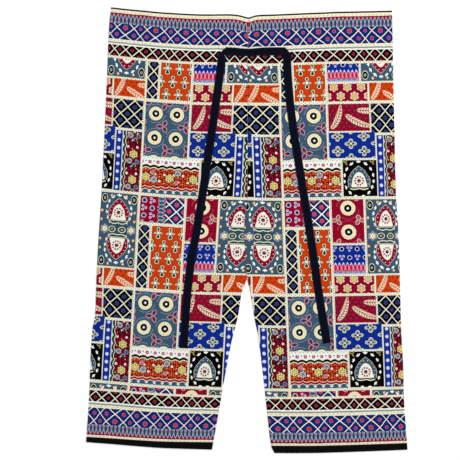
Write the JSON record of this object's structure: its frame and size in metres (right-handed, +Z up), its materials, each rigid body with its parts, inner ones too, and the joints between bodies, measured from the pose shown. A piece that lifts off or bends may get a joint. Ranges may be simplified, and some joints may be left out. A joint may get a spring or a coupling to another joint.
{
  "type": "thai fisherman pants laid flat",
  "caption": "Wide patchwork-print wrap trousers laid flat back upwards, with black hem bands and a dark tie belt whose two tails lie free.",
  "frame": {"origin": "on the surface the pants lie on, under the middle of their outline", "axes": "+Z up from the surface, +Y towards the waist, +X to the wearer's right, as the back is uppermost"},
  "size_m": [0.707, 0.98, 0.0068],
  "materials": {
    "printed_cloth": "matt plain weave with a traditional patchwork print in teal, crimson, orange, royal blue, black and cream",
    "hem_cloth": "soft black plain weave with a slight sheen on the rolled edge",
    "tie_cloth": "matt blue-black tape with stitched edges"
  },
  "bodies": {
    "root": {"left_leg": "printed_cloth", "right_leg": "printed_cloth", "left_hem_band": "hem_cloth", "right_hem_band": "hem_cloth", "tie_centre": "tie_cloth", "tie_left_tail": "tie_cloth", "tie_right_tail": "tie_cloth"}
  },
  "joints": []
}
